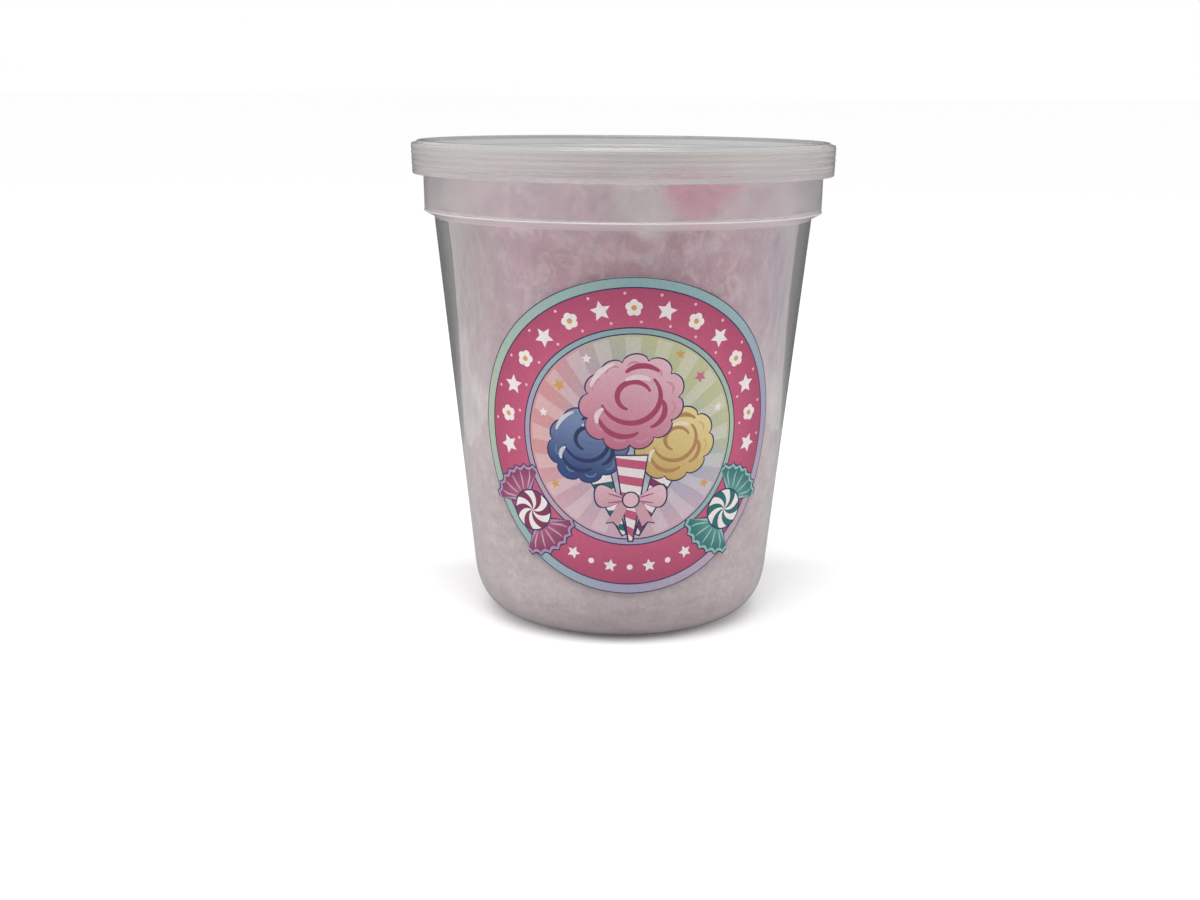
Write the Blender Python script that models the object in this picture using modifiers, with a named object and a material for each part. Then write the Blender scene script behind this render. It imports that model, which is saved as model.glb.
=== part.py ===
"""Cotton candy in its clear round tub: tapered tub, press-on lid, round paper label, candy.

Standalone Blender 4.5 script, metres, +Z up. The origin is the centre of the foot that
the tub stands on, and the label faces -Y. Lengths in the constants are millimetres.
"""

import math

import bmesh
import bpy
from mathutils import Vector, noise

MM = 0.001
PART_COLLECTION = "cotton_candy_tub"
CUTTER_COLLECTION = "cutters"
SEGMENTS = 48               # facets round the tub, lid and label
MERGE = 0.00005             # metres; welds the points on the axis of a turned shape

# Tapered wall: its outer radius grows evenly from the foot to the shoulder
BODY_RADIUS_AT_FOOT = 41.0  # where the wall's line would meet the table
BODY_RADIUS_AT_TOP = 53.3
BODY_TOP = 115.2
WALL = 0.9
TAPER = (BODY_RADIUS_AT_TOP - BODY_RADIUS_AT_FOOT) / BODY_TOP

# Rounded bottom corner and the ring that the tub stands on
CORNER = 15.0
FOOT_OUTER_RADIUS = 26.2
FOOT_INNER_RADIUS = 22.6
BASE_RECESS = 1.2
FLOOR_TOP = 2.1

# Wider band under the lid, and the rim that the lid snaps over
BAND_BOTTOM = 116.6
BAND_RADIUS_BOTTOM = 56.0
BAND_RADIUS_TOP = 56.3
BAND_TOP = 129.5
RIM_RADIUS = 58.0
RIM_BOTTOM = 130.5
RIM_TOP = 134.8
RIM_WALL = 1.0

# Lid: panel sunk in a plug, stacking bead, outer shoulder and skirt with a snap bead
LID_TOP = 136.0
LID_SHOULDER = 135.3
LID_RADIUS = 59.5
SKIRT_BOTTOM_RADIUS = 59.22
SKIRT_BOTTOM = 126.95
SKIRT_INNER_RADIUS = 58.35
SNAP_RADIUS = 57.4
SNAP_HEIGHT = 128.7
BEAD_OUTER_RADIUS = 58.0
BEAD_INNER_RADIUS = 56.2
PLUG_OUTER_RADIUS = 56.65
PANEL_TOP = 133.0
PANEL_RADIUS = 54.6
LID_WALL = 0.9

# Round paper label, wrapped flat on the tapered wall
LABEL_DIAMETER = 87.6
LABEL_CENTRE = 59.7
LABEL_GAP = 0.3
LABEL_THICKNESS = 0.2
LABEL_OUTLINE_POINTS = 72
CUTTER_DEPTH = 70.0

# Candy: how far it stays off the wall and the lid, and how uneven it is
CANDY_SEGMENTS = 40
CANDY_CLEARANCE = 0.5
CANDY_TOP = 131.3
CANDY_TOP_DIP = 3.2
CANDY_LUMP_DEPTH = 1.3
CANDY_NECK_RADIUS = 53.2    # inside the wider band
CANDY_RESTING_HEIGHT = 5.0  # below this it keeps to the tub's floor and corner
CANDY_SHOULDER = 5.0        # how far below the band's top its upper edge turns over
LUMP_SIZE = 16.0
LUMP_OFFSET = Vector((3.7, 0.0, 1.9))

# The candy has shrunk from the upper wall, most of all at the left and the right
SHRINK_DEPTH = 2.8
SHRINK_START = 54.0
SHRINK_FULL = 88.0
SHRINK_ALL_ROUND = 0.3


def corner(start, control, end, steps):
    """Points of a rounded corner from start to end, both included."""
    points = []
    for step in range(steps + 1):
        t = step / steps
        radius = (1 - t) ** 2 * start[0] + 2 * t * (1 - t) * control[0] + t ** 2 * end[0]
        height = (1 - t) ** 2 * start[1] + 2 * t * (1 - t) * control[1] + t ** 2 * end[1]
        points.append((radius, height))
    return points


def wall_radius(height):
    """Outer radius of the tapered wall at a height."""
    return BODY_RADIUS_AT_FOOT + TAPER * height


def new_collection(name):
    """An empty collection linked to the scene."""
    collection = bpy.data.collections.new(name)
    bpy.context.scene.collection.children.link(collection)
    return collection


def new_material(name, colour, roughness, alpha=1.0, transmission=0.0):
    """A Principled material with one colour."""
    material = bpy.data.materials.new(name)
    material.use_nodes = True
    shader = material.node_tree.nodes["Principled BSDF"]
    shader.inputs["Base Color"].default_value = (*colour, 1.0)
    shader.inputs["Roughness"].default_value = roughness
    shader.inputs["Metallic"].default_value = 0.0
    shader.inputs["Alpha"].default_value = alpha
    shader.inputs["Transmission Weight"].default_value = transmission
    return material


def add_object(name, mesh, collection):
    """Put a mesh in the scene as a named object."""
    piece = bpy.data.objects.new(name, mesh)
    collection.objects.link(piece)
    return piece


def turned(name, outline, collection, segments, closed=False):
    """A turned shape: the outline, in mm, screwed once round the Z axis."""
    mesh = bpy.data.meshes.new(name)
    vertices = [(radius * MM, 0.0, height * MM) for radius, height in outline]
    edges = [(index, index + 1) for index in range(len(vertices) - 1)]
    if closed:
        edges.append((len(vertices) - 1, 0))
    mesh.from_pydata(vertices, edges, [])
    piece = add_object(name, mesh, collection)
    screw = piece.modifiers.new("turn", "SCREW")
    screw.axis = "Z"
    screw.angle = math.tau
    screw.steps = segments
    screw.render_steps = segments
    screw.use_merge_vertices = True
    screw.merge_threshold = MERGE
    screw.use_smooth_shade = True
    return piece


def applied(piece, collection):
    """Replace an object by a plain mesh of its evaluated shape."""
    bpy.context.view_layer.update()
    graph = bpy.context.evaluated_depsgraph_get()
    mesh = bpy.data.meshes.new_from_object(piece.evaluated_get(graph))
    name = piece.name
    place = piece.matrix_world.copy()
    bpy.data.objects.remove(piece)
    result = add_object(name, mesh, collection)
    result.matrix_world = place
    return result


def tub_outline():
    """The tub's half section, from the middle of its floor up the inside and down the outside."""
    inner_corner_top = CORNER + 0.5
    inner_wall_foot = wall_radius(FLOOR_TOP) - WALL
    inner = [(0.0, FLOOR_TOP)]
    inner += corner(
        (FOOT_OUTER_RADIUS - 0.5, FLOOR_TOP),
        (inner_wall_foot, FLOOR_TOP),
        (wall_radius(inner_corner_top) - WALL, inner_corner_top),
        5,
    )
    inner += [
        (BODY_RADIUS_AT_TOP - WALL, BODY_TOP + 0.5),
        (BAND_RADIUS_BOTTOM - 1.4 * WALL, BAND_BOTTOM + 0.5),
        (BAND_RADIUS_BOTTOM - WALL, BAND_BOTTOM + 1.6),
        (BAND_RADIUS_TOP - WALL, BAND_TOP + 0.4),
        (RIM_RADIUS - RIM_WALL, RIM_BOTTOM + 0.3),
    ]
    rim = [
        (RIM_RADIUS - RIM_WALL, RIM_TOP - 0.3),
        (RIM_RADIUS - 0.7 * RIM_WALL, RIM_TOP),
        (RIM_RADIUS - 0.3 * RIM_WALL, RIM_TOP),
        (RIM_RADIUS, RIM_TOP - 0.3),
        (RIM_RADIUS, RIM_BOTTOM),
    ]
    band = [(BAND_RADIUS_TOP, BAND_TOP)]
    band += corner(
        (BAND_RADIUS_BOTTOM, BAND_BOTTOM + 1.2),
        (BAND_RADIUS_BOTTOM, BAND_BOTTOM),
        (BAND_RADIUS_BOTTOM - 1.2, BAND_BOTTOM - 0.55),
        3,
    )
    band.append((BODY_RADIUS_AT_TOP, BODY_TOP))
    foot = corner(
        (wall_radius(CORNER), CORNER),
        (BODY_RADIUS_AT_FOOT, 0.0),
        (FOOT_OUTER_RADIUS, 0.0),
        6,
    )
    foot += [
        (FOOT_INNER_RADIUS, 0.0),
        (FOOT_INNER_RADIUS - BASE_RECESS, BASE_RECESS),
        (0.0, BASE_RECESS),
    ]
    return inner + rim + band + foot


def lid_outline():
    """The lid's half section, from the middle of its panel out, down the skirt and back."""
    panel_under = PANEL_TOP - LID_WALL
    roof = LID_TOP - LID_WALL
    top = [(0.0, PANEL_TOP)]
    top += corner(
        (PANEL_RADIUS, PANEL_TOP),
        (BEAD_INNER_RADIUS - 0.5, PANEL_TOP),
        (BEAD_INNER_RADIUS - 0.3, PANEL_TOP + 1.2),
        2,
    )
    top += corner(
        (BEAD_INNER_RADIUS, LID_TOP - 0.5),
        (BEAD_INNER_RADIUS, LID_TOP),
        (BEAD_INNER_RADIUS + 0.5, LID_TOP),
        2,
    )
    top += [
        (BEAD_OUTER_RADIUS - 0.4, LID_TOP),
        (BEAD_OUTER_RADIUS, LID_TOP - 0.3),
        (BEAD_OUTER_RADIUS + 0.2, LID_SHOULDER),
    ]
    skirt = corner(
        (LID_RADIUS - 0.6, LID_SHOULDER),
        (LID_RADIUS, LID_SHOULDER),
        (LID_RADIUS, LID_SHOULDER - 0.6),
        2,
    )
    skirt += corner(
        (SKIRT_BOTTOM_RADIUS, SKIRT_BOTTOM + 0.4),
        (SKIRT_BOTTOM_RADIUS, SKIRT_BOTTOM),
        (SKIRT_BOTTOM_RADIUS - 0.4, SKIRT_BOTTOM),
        2,
    )
    inside = [
        (SKIRT_INNER_RADIUS, SKIRT_BOTTOM + 0.2),
        (SNAP_RADIUS, SNAP_HEIGHT - 0.4),
        (SNAP_RADIUS, SNAP_HEIGHT + 0.2),
        (SKIRT_INNER_RADIUS, SNAP_HEIGHT + 1.0),
        (SKIRT_INNER_RADIUS, roof - 0.3),
        (SKIRT_INNER_RADIUS - 0.3, roof),
        (PLUG_OUTER_RADIUS + 0.3, roof),
        (PLUG_OUTER_RADIUS, roof - 0.3),
        (PLUG_OUTER_RADIUS - 0.3, panel_under + 0.9),
        (PLUG_OUTER_RADIUS - 1.2, panel_under),
        (0.0, panel_under),
    ]
    return top + skirt + inside


def label_outline():
    """Outline of the round label, wrapped on the tapered wall and seen from the front."""
    slope = math.atan(TAPER)
    slant_to_centre = wall_radius(LABEL_CENTRE) / math.sin(slope)
    outline = []
    for index in range(LABEL_OUTLINE_POINTS):
        turn = math.tau * index / LABEL_OUTLINE_POINTS
        across = 0.5 * LABEL_DIAMETER * math.cos(turn)
        up = slant_to_centre + 0.5 * LABEL_DIAMETER * math.sin(turn)
        slant = math.hypot(across, up)
        angle = math.atan2(across, up) / math.sin(slope)
        radius = slant * math.sin(slope)
        height = LABEL_CENTRE + (slant - slant_to_centre) * math.cos(slope)
        outline.append((radius * math.sin(angle), height))
    return outline


def label_cutter(collection):
    """A prism along Y with the label's outline, which cuts the label from its shell."""
    curve = bpy.data.curves.new("label_cutter", "CURVE")
    curve.dimensions = "2D"
    curve.fill_mode = "BOTH"
    curve.extrude = 0.5 * CUTTER_DEPTH * MM
    outline = label_outline()
    spline = curve.splines.new("POLY")
    spline.points.add(len(outline) - 1)
    for point, (across, height) in zip(spline.points, outline):
        point.co = (across * MM, height * MM, 0.0, 1.0)
    spline.use_cyclic_u = True
    prism = bpy.data.objects.new("label_cutter", curve)
    collection.objects.link(prism)
    prism.rotation_euler = (0.5 * math.pi, 0.0, 0.0)
    prism.location = (0.0, -0.5 * CUTTER_DEPTH * MM, 0.0)
    cutter = applied(prism, collection)
    welded = bmesh.new()
    welded.from_mesh(cutter.data)
    bmesh.ops.remove_doubles(welded, verts=welded.verts, dist=MERGE)
    bmesh.ops.recalc_face_normals(welded, faces=welded.faces)
    welded.to_mesh(cutter.data)
    welded.free()
    cutter.hide_render = True
    cutter.display_type = "WIRE"
    return cutter


def make_tub(collection):
    """The one-piece tub."""
    tub = turned("tub", tub_outline(), collection, SEGMENTS)
    tub.data.materials.append(new_material("clear_tub", (0.86, 0.87, 0.87), 0.15, 0.35, 0.9))
    return tub


def make_lid(collection):
    """The press-on lid."""
    lid = turned("lid", lid_outline(), collection, SEGMENTS)
    lid.data.materials.append(new_material("frosted_lid", (0.80, 0.78, 0.77), 0.40, 0.65, 0.6))
    return lid


def make_label(collection, cutters):
    """The label: a thin tapered shell just off the wall, cut to the label's outline."""
    reach = 0.5 * LABEL_DIAMETER + 2.0
    low = LABEL_CENTRE - reach
    high = LABEL_CENTRE + reach
    outside = LABEL_GAP + LABEL_THICKNESS
    shell_outline = [
        (wall_radius(high) + outside, high),
        (wall_radius(low) + outside, low),
        (wall_radius(low) + LABEL_GAP, low),
        (wall_radius(high) + LABEL_GAP, high),
    ]
    label = turned("label", shell_outline, collection, SEGMENTS, closed=True)
    cut = label.modifiers.new("cut_to_outline", "BOOLEAN")
    cut.operation = "INTERSECT"
    cut.solver = "EXACT"
    cut.object = label_cutter(cutters)
    label.data.materials.append(new_material("printed_label", (0.45, 0.10, 0.17), 0.45))
    return label


def candy_outline():
    """The candy's half section when it fills the tub, from its top middle to its bottom middle."""
    gap = WALL + CANDY_CLEARANCE
    floor = FLOOR_TOP + CANDY_CLEARANCE
    outline = [(0.0, CANDY_TOP), (16.0, CANDY_TOP), (32.0, CANDY_TOP)]
    outline += corner(
        (CANDY_NECK_RADIUS - 10.0, CANDY_TOP),
        (CANDY_NECK_RADIUS - 2.0, CANDY_TOP),
        (CANDY_NECK_RADIUS, BAND_TOP - CANDY_SHOULDER + 1.0),
        3,
    )
    outline.append((CANDY_NECK_RADIUS, BAND_BOTTOM + 3.0))
    wall_top = BODY_TOP - 3.0
    wall_bottom = CORNER + 3.0
    rings = 9
    for ring in range(rings + 1):
        height = wall_top + (wall_bottom - wall_top) * ring / rings
        outline.append((wall_radius(height) - gap, height))
    outline += corner(
        (wall_radius(CORNER) - gap - 0.4, CORNER),
        (wall_radius(floor) - gap - 1.5, floor),
        (FOOT_OUTER_RADIUS - 4.0, floor),
        4,
    )
    outline.append((0.0, floor))
    return outline


def shrinkage(angle, height):
    """How far the candy has drawn back from the wall at an angle from the front."""
    rise = min(max((height - SHRINK_START) / (SHRINK_FULL - SHRINK_START), 0.0), 1.0)
    sideways = SHRINK_ALL_ROUND + (1.0 - SHRINK_ALL_ROUND) * math.sin(angle) ** 4
    return SHRINK_DEPTH * rise * sideways


def make_candy(collection):
    """The candy: the fill of the tub, pushed in and down by soft lumps."""
    candy = applied(turned("cotton_candy", candy_outline(), collection, CANDY_SEGMENTS), collection)
    for vertex in candy.data.vertices:
        place = vertex.co / MM
        radius = math.hypot(place.x, place.y)
        angle = math.atan2(place.x, -place.y)
        lump = 0.5 + 0.5 * noise.noise(place / LUMP_SIZE + LUMP_OFFSET)
        if radius > FOOT_OUTER_RADIUS and place.z > CANDY_RESTING_HEIGHT:
            pushed = CANDY_LUMP_DEPTH * lump + shrinkage(angle, place.z)
            place.x *= 1.0 - pushed / radius
            place.y *= 1.0 - pushed / radius
        if place.z > BAND_TOP - CANDY_SHOULDER:
            place.z -= CANDY_TOP_DIP * lump
        vertex.co = place * MM
    candy.data.materials.append(new_material("spun_sugar", (0.47, 0.36, 0.39), 0.95))
    return candy


def main():
    """Clear the scene and build every piece."""
    for old in list(bpy.data.objects):
        bpy.data.objects.remove(old)
    parts = new_collection(PART_COLLECTION)
    cutters = new_collection(CUTTER_COLLECTION)
    make_tub(parts)
    make_lid(parts)
    make_label(parts, cutters)
    make_candy(parts)


main()
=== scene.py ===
import math
import random

import bpy
import numpy as np
from mathutils import Euler, Matrix, Vector, noise
from mathutils.geometry import delaunay_2d_cdt


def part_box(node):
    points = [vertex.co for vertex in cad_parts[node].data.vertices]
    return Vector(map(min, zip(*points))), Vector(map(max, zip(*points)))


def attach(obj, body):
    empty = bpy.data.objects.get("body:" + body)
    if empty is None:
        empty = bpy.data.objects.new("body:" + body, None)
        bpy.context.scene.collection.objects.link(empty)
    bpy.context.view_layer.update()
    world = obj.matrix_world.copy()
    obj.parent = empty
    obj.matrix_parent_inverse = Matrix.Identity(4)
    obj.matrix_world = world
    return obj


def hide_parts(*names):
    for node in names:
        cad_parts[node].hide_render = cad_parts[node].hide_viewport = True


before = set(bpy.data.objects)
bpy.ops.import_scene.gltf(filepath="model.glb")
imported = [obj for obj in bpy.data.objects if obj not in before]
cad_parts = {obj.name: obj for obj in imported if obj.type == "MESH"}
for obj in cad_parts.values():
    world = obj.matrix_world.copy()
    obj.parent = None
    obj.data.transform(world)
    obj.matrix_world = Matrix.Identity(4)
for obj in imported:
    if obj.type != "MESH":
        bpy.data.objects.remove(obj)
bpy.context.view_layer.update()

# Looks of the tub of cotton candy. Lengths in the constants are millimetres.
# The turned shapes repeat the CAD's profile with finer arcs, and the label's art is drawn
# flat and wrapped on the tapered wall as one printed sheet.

MM = 0.001
SEGMENTS = 192


def box_mm(node):
    """A CAD node's lowest and highest corners in millimetres."""
    low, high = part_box(node)
    return Vector(low) / MM, Vector(high) / MM


tub_low, tub_high = box_mm("tub")
lid_low, lid_high = box_mm("lid")
label_low, label_high = box_mm("label")

# Tub
BODY_RADIUS_AT_FOOT = 41.0
BODY_RADIUS_AT_TOP = 53.3
BODY_TOP = 115.2
WALL = 0.9
TAPER = (BODY_RADIUS_AT_TOP - BODY_RADIUS_AT_FOOT) / BODY_TOP
CORNER = 15.0
FOOT_OUTER_RADIUS = 26.2
FOOT_INNER_RADIUS = 22.6
BASE_RECESS = 1.2
FLOOR_TOP = 2.1
BAND_BOTTOM = 116.6
BAND_RADIUS_BOTTOM = 56.0
BAND_RADIUS_TOP = 56.3
BAND_TOP = 129.5
RIM_RADIUS = tub_high.x
RIM_TOP = tub_high.z
RIM_BOTTOM = RIM_TOP - 4.3
RIM_WALL = 1.0
LIP = 0.22
LIP_HEIGHT = 0.5

# Lid
LID_TOP = lid_high.z
LID_RADIUS = lid_high.x
LID_SHOULDER = LID_TOP - 0.7
SKIRT_BOTTOM = lid_low.z
SKIRT_BOTTOM_RADIUS = LID_RADIUS - 0.28
SKIRT_INNER_RADIUS = LID_RADIUS - 1.15
SNAP_RADIUS = SKIRT_INNER_RADIUS - 0.95
SNAP_HEIGHT = SKIRT_BOTTOM + 1.75
BEAD_OUTER_RADIUS = LID_RADIUS - 1.5
BEAD_INNER_RADIUS = LID_RADIUS - 3.3
PLUG_OUTER_RADIUS = LID_RADIUS - 2.85
PANEL_TOP = LID_TOP - 3.0
PANEL_RADIUS = 54.6
PANEL_RING_HEIGHT = 0.08
# Height on the bead's inner wall above which it takes a painted dark reflection
BEAD_PAINTED_REFLECTION_HEIGHT = LID_TOP - 1.1
SKIRT_RINGS = (134.3, 132.8, 131.3, 129.7)
SKIRT_RING_DEPTH = 0.12
LID_WALL = 0.9

# Label
LABEL_RADIUS = 43.8
LABEL_CENTRE = 59.7
LABEL_LIFT = 0.03
PAPER = 0.12

# Candy
CANDY_REACH = 0.12
CANDY_TOP = LID_TOP - 4.9
CANDY_NECK_RADIUS = 53.2
CANDY_SHOULDER = 8.0
CANDY_DIP = 3.2
CANDY_AROUND = 360
CONTACT_DEPTH = 0.88
PRESSED_HEIGHT = 50.0
SHRINK_DEPTH = 3.3
SHRINK_START = 36.0
SHRINK_FULL = 106.0
SHRINK_ALL_ROUND = 0.3
SIDE_CALM = 0.65
MEAN_RELIEF = 0.62
THREAD_COUNT = 2400
THREAD_STEPS = 9
THREAD_STRIDE = 1.1
THREAD_FIRST = 184
THREAD_CLEAR = 0.45
THREAD_PALER = 0.35


# ---------------------------------------------------------------- shapes

def corner(start, control, end, steps):
    """Points of a rounded corner from start to end, both included."""
    points = []
    for step in range(steps + 1):
        t = step / steps
        radius = (1 - t) ** 2 * start[0] + 2 * t * (1 - t) * control[0] + t ** 2 * end[0]
        height = (1 - t) ** 2 * start[1] + 2 * t * (1 - t) * control[1] + t ** 2 * end[1]
        points.append((radius, height))
    return points


def rounded(outline, radius_of, steps=4):
    """The outline with each inner point that has a radius turned into a small arc."""
    result = [outline[0]]
    for index in range(1, len(outline) - 1):
        here = Vector(outline[index])
        reach = radius_of.get(index, 0.0)
        before = Vector(outline[index - 1]) - here
        after = Vector(outline[index + 1]) - here
        reach = min(reach, 0.45 * before.length, 0.45 * after.length)
        if reach < 0.02:
            result.append(outline[index])
            continue
        start = here + before.normalized() * reach
        end = here + after.normalized() * reach
        result += corner(start, here, end, steps)
    result.append(outline[-1])
    return result


def wall_radius(height):
    """Outer radius of the tapered wall."""
    return BODY_RADIUS_AT_FOOT + TAPER * height


def inner_radius(height):
    """Inner radius of the tub at a height, for the candy to lean on."""
    if height >= CORNER + 0.5:
        return wall_radius(min(height, BODY_TOP)) - WALL
    t = 1.0 - math.sqrt(max(height - FLOOR_TOP, 0.0) / (CORNER + 0.5 - FLOOR_TOP))
    start = wall_radius(CORNER + 0.5) - WALL
    control = wall_radius(FLOOR_TOP) - WALL
    end = FOOT_OUTER_RADIUS - 0.5
    return (1 - t) ** 2 * start + 2 * t * (1 - t) * control + t ** 2 * end


def turned(name, outline, slot_of=None):
    """A turned shape: the outline, in mm, swept once round the Z axis.

    slot_of gives a face's material slot from its middle radius and height."""
    vertices = []
    rings = []
    for radius, height in outline:
        first = len(vertices)
        if radius < 0.001:
            vertices.append((0.0, 0.0, height * MM))
            rings.append([first] * SEGMENTS)
            continue
        for step in range(SEGMENTS):
            angle = math.tau * step / SEGMENTS
            vertices.append((radius * math.cos(angle) * MM, radius * math.sin(angle) * MM, height * MM))
        rings.append(list(range(first, first + SEGMENTS)))
    faces = []
    slots = []
    for index in range(len(rings) - 1):
        middle = [0.5 * (here + there) for here, there in zip(outline[index], outline[index + 1])]
        slot = slot_of(*middle) if slot_of else 0
        for step in range(SEGMENTS):
            after = (step + 1) % SEGMENTS
            lower = rings[index]
            upper = rings[index + 1]
            corners = [lower[step], upper[step], upper[after], lower[after]]
            faces.append(list(dict.fromkeys(corners)))
            slots.append(slot)
    mesh = bpy.data.meshes.new(name)
    mesh.from_pydata(vertices, [], faces)
    mesh.polygons.foreach_set("material_index", slots)
    mesh.shade_smooth()
    piece = bpy.data.objects.new(name, mesh)
    bpy.context.scene.collection.objects.link(piece)
    return piece


def tub_outline():
    """The tub's half section, up the inside and down the outside."""
    inner = [(0.0, FLOOR_TOP)]
    inner += corner(
        (FOOT_OUTER_RADIUS - 0.5, FLOOR_TOP),
        (wall_radius(FLOOR_TOP) - WALL, FLOOR_TOP),
        (wall_radius(CORNER + 0.5) - WALL, CORNER + 0.5),
        14,
    )
    upper = [
        inner[-1],
        (BODY_RADIUS_AT_TOP - WALL, BODY_TOP + 0.5),
        (BAND_RADIUS_BOTTOM - WALL, BAND_BOTTOM + 0.9),
        (BAND_RADIUS_TOP - WALL, BAND_TOP + 0.4),
        (RIM_RADIUS - RIM_WALL, RIM_BOTTOM + 0.3),
        (RIM_RADIUS - RIM_WALL, RIM_TOP),
        (RIM_RADIUS, RIM_TOP),
        (RIM_RADIUS, RIM_BOTTOM),
        (BAND_RADIUS_TOP, BAND_TOP),
        (BAND_RADIUS_BOTTOM, BAND_BOTTOM + LIP_HEIGHT),
        (BAND_RADIUS_BOTTOM + LIP, BAND_BOTTOM + 0.6 * LIP_HEIGHT),
        (BAND_RADIUS_BOTTOM + LIP, BAND_BOTTOM + 0.3 * LIP_HEIGHT),
        (BAND_RADIUS_BOTTOM, BAND_BOTTOM),
        (BODY_RADIUS_AT_TOP, BODY_TOP),
        (wall_radius(CORNER), CORNER),
    ]
    radii = {1: 0.8, 2: 1.0, 3: 0.5, 4: 0.4, 5: 0.4, 6: 0.4, 7: 0.3, 8: 0.4, 9: 0.15, 10: 0.1, 11: 0.1, 12: 0.3, 13: 0.5}
    foot = corner(
        (wall_radius(CORNER), CORNER),
        (BODY_RADIUS_AT_FOOT, 0.0),
        (FOOT_OUTER_RADIUS, 0.0),
        16,
    )
    foot += [
        (FOOT_INNER_RADIUS, 0.0),
        (FOOT_INNER_RADIUS - 0.35, 0.2),
        (FOOT_INNER_RADIUS - 1.0, BASE_RECESS - 0.2),
        (FOOT_INNER_RADIUS - 1.5, BASE_RECESS),
        (0.0, BASE_RECESS),
    ]
    return inner[:-1] + rounded(upper, radii)[:-1] + foot


def skirt_rings():
    """Fine moulded rings on the outside of the lid's skirt."""
    points = []
    for height in SKIRT_RINGS:
        share = (LID_SHOULDER - height) / (LID_SHOULDER - SKIRT_BOTTOM)
        radius = LID_RADIUS + (SKIRT_BOTTOM_RADIUS - LID_RADIUS) * share
        points.append((radius, height + 0.30))
        points.append((radius + SKIRT_RING_DEPTH, height + 0.08))
        points.append((radius + SKIRT_RING_DEPTH, height - 0.08))
        points.append((radius, height - 0.22))
    return points


def lid_outline():
    """The lid's half section, out over the top, down the skirt and back underneath."""
    panel_under = PANEL_TOP - LID_WALL
    roof = LID_TOP - LID_WALL
    path = [
        (0.0, PANEL_TOP - 0.15),
        (0.9, PANEL_TOP - 0.15),
        (1.3, PANEL_TOP),
        (16.0, PANEL_TOP),
        (16.4, PANEL_TOP + PANEL_RING_HEIGHT),
        (17.2, PANEL_TOP + PANEL_RING_HEIGHT),
        (17.6, PANEL_TOP),
        (PANEL_RADIUS - 6.0, PANEL_TOP),
        (PANEL_RADIUS - 5.6, PANEL_TOP + PANEL_RING_HEIGHT),
        (PANEL_RADIUS - 4.8, PANEL_TOP + PANEL_RING_HEIGHT),
        (PANEL_RADIUS - 4.4, PANEL_TOP),
        (BEAD_INNER_RADIUS - 0.5, PANEL_TOP),
        (BEAD_INNER_RADIUS - 0.18, BEAD_PAINTED_REFLECTION_HEIGHT),
        (BEAD_INNER_RADIUS, LID_TOP),
        (BEAD_OUTER_RADIUS, LID_TOP),
        (BEAD_OUTER_RADIUS + 0.25, LID_SHOULDER),
        (LID_RADIUS, LID_SHOULDER),
        *skirt_rings(),
        (SKIRT_BOTTOM_RADIUS, SKIRT_BOTTOM),
        (SKIRT_INNER_RADIUS, SKIRT_BOTTOM),
        (SNAP_RADIUS, SNAP_HEIGHT - 0.4),
        (SNAP_RADIUS, SNAP_HEIGHT + 0.2),
        (SKIRT_INNER_RADIUS, SNAP_HEIGHT + 1.0),
        (SKIRT_INNER_RADIUS, roof),
        (PLUG_OUTER_RADIUS, roof),
        (PLUG_OUTER_RADIUS - 0.3, panel_under + 0.9),
        (PLUG_OUTER_RADIUS - 1.2, panel_under),
        (0.0, panel_under),
    ]
    first_ring = path.index((LID_RADIUS, LID_SHOULDER)) + 1
    radii = {index: 0.2 for index in range(1, first_ring)}
    radii.update({first_ring - 6: 0.5, first_ring - 4: 0.6, first_ring - 3: 0.5, first_ring - 1: 0.5})
    radii.update({index: 0.3 for index in range(first_ring + 4 * len(SKIRT_RINGS), len(path) - 1)})
    return rounded(path, radii)


# ---------------------------------------------------------------- label art, drawn flat in mm

def srgb(red, green, blue):
    """A colour given as 0 to 255 in sRGB, as linear values."""
    values = []
    for value in (red, green, blue):
        share = value / 255.0
        values.append(share / 12.92 if share <= 0.04045 else ((share + 0.055) / 1.055) ** 2.4)
    return tuple(values)


INK = srgb(50, 60, 98)
WHITE = srgb(236, 227, 226)
PINK = srgb(196, 92, 124)
PINK_DEEP = srgb(170, 72, 104)
ROSE = srgb(196, 112, 138)
ROSE_PALE = srgb(228, 188, 198)
BLUSH = srgb(206, 160, 172)
GOLD = srgb(208, 160, 88)
AMBER = srgb(198, 160, 90)
CREAM = srgb(226, 206, 146)
PLUM = srgb(128, 58, 92)
MAUVE = srgb(178, 100, 134)
LILAC = srgb(170, 144, 180)
TEAL = srgb(42, 110, 108)
JADE = srgb(92, 160, 152)
MINT = srgb(146, 186, 182)
BLUE = srgb(54, 78, 130)
SKY = srgb(142, 160, 192)
SALMON = srgb(208, 150, 152)
SKY_WASH = srgb(160, 174, 192)
LIME_WASH = srgb(190, 192, 152)
ROSE_WASH = srgb(204, 170, 184)
BORDER_COLOURS = (
    srgb(168, 158, 184),
    srgb(150, 176, 180),
    srgb(142, 172, 174),
    srgb(158, 182, 172),
    srgb(176, 190, 164),
    srgb(146, 178, 176),
    srgb(166, 162, 188),
    srgb(186, 162, 176),
)

BORDER_WIDTH = 2.6
KEYLINE = 0.35
MEDALLION_HEIGHT = 0.4
MEDALLION_RADIUS = 28.2
RING_RADIUS = 35.7


def blend(first, second, share):
    share = min(max(share, 0.0), 1.0)
    return tuple(one + (other - one) * share for one, other in zip(first, second))


def border_tone(x, y):
    """The border's pastel, which changes with the direction from the middle."""
    place = (math.atan2(y, x) / math.tau % 1.0) * len(BORDER_COLOURS)
    index = int(place)
    after = BORDER_COLOURS[(index + 1) % len(BORDER_COLOURS)]
    return blend(BORDER_COLOURS[index % len(BORDER_COLOURS)], after, place - index)


def field_tone(x, y):
    return blend(PINK, PINK_DEEP, (math.hypot(x, y) - 30.0) / 14.0)


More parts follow.
